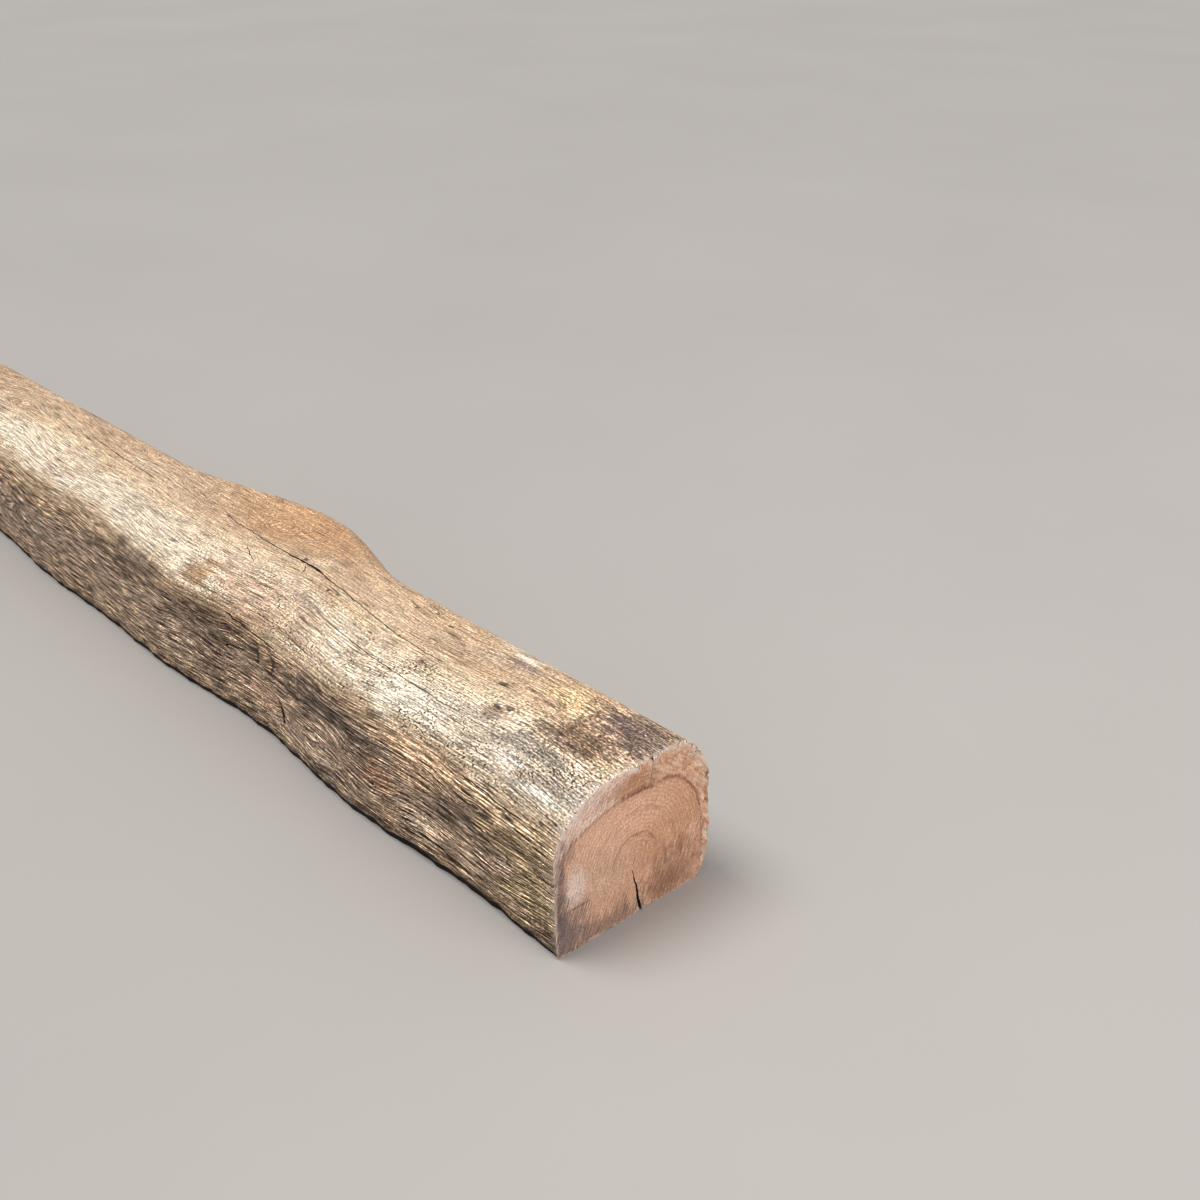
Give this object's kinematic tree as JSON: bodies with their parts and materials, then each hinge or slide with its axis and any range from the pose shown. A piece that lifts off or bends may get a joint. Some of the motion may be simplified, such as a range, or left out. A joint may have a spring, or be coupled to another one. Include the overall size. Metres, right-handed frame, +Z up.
{
  "type": "reclaimed oak beam",
  "caption": "Length of reclaimed oak beam with a flat sawn underside and ends, a hewn wavy face, a waney top edge, a branch swelling and drying checks.",
  "frame": {"origin": "on the flat underside, below the middle of the overall length and width", "axes": "+X along the grain towards the sawn end with the drying check, -Y out of the hewn face, +Z up"},
  "size_m": [1.8, 0.259, 0.189],
  "materials": {
    "weathered_oak": "bleached and weathered, with fresh sawn end grain"
  },
  "bodies": {
    "root": {"oak_beam": "weathered_oak"}
  },
  "joints": []
}
